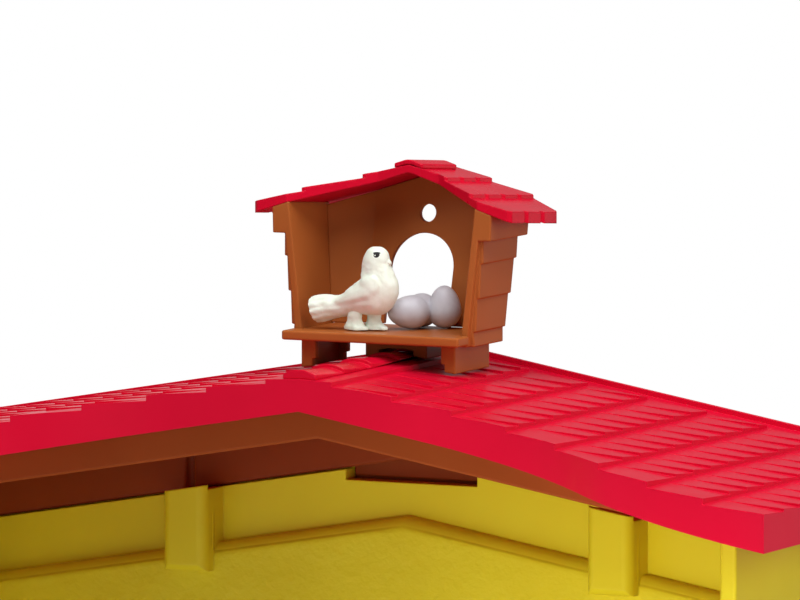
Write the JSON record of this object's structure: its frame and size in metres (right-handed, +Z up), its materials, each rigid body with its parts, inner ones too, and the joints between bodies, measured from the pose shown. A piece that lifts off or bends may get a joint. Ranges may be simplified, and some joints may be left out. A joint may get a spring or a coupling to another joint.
{
  "type": "toy farm playset",
  "caption": "Open-front toy barn with a lift-off shingled gable roof, a removable dovecote on its ridge, a dove figure, a clutch of eggs and a hinged double door.",
  "frame": {"origin": "centre of the bounding box on the ground", "axes": "+Z up, +Y from the open play side to the door side, +X across the gable"},
  "size_m": [0.328, 0.1431, 0.2279],
  "materials": {
    "red_plastic": "moulded, satin gloss",
    "yellow_plastic": "moulded, stucco texture",
    "brown_plastic": "moulded, glossy",
    "dove_white": "painted soft plastic",
    "egg_grey": "moulded, satin"
  },
  "bodies": {
    "barn": {"back_wall": "yellow_plastic", "left_wall": "yellow_plastic", "right_wall": "yellow_plastic"},
    "roof": {"roof_left": "red_plastic", "roof_right": "red_plastic", "ridge_tiles": "red_plastic", "front_truss": "brown_plastic", "gable_board_left": "brown_plastic", "gable_board_centre": "brown_plastic", "gable_board_right": "brown_plastic", "gable_tab": "brown_plastic", "roof_tongue_left": "brown_plastic", "roof_tongue_right": "brown_plastic"},
    "dovecote": {"cote_floor": "brown_plastic", "cote_back_wall": "brown_plastic", "cote_wall_left": "brown_plastic", "cote_wall_right": "brown_plastic", "cote_foot_left": "brown_plastic", "cote_foot_right": "brown_plastic", "cote_saddle": "brown_plastic", "cote_roof_left": "red_plastic", "cote_roof_right": "red_plastic", "cote_ridge_cap": "red_plastic"},
    "dove_figure": {"dove": "dove_white"},
    "eggs": {"egg_clutch": "egg_grey"},
    "door_leaf_left": {"left_door": "brown_plastic"},
    "door_leaf_right": {"right_door": "brown_plastic"}
  },
  "joints": [
    {"name": "roof_lift", "type": "slide", "parent": "barn", "child": "roof", "axis": [0, 0, 1], "range_m": [0, 0.05]},
    {"name": "cote_lift", "type": "slide", "parent": "roof", "child": "dovecote", "axis": [0, 0, 1], "range_m": [0, 0.03]},
    {"name": "dove_out", "type": "slide", "parent": "dovecote", "child": "dove_figure", "axis": [0, -0.9659, 0.259], "range_m": [0, 0.045]},
    {"name": "eggs_lift", "type": "slide", "parent": "dovecote", "child": "eggs", "axis": [0, 0, 1], "range_m": [0, 0.012]},
    {"name": "door_left_swing", "type": "hinge", "parent": "barn", "child": "door_leaf_left", "pos_m": [-0.0436, 0.049, 0.048], "axis": [0, 0, 1], "range_deg": [0, 95]},
    {"name": "door_right_swing", "type": "hinge", "parent": "barn", "child": "door_leaf_right", "pos_m": [0.0436, 0.049, 0.048], "axis": [0, 0, -1], "range_deg": [0, 95]}
  ]
}
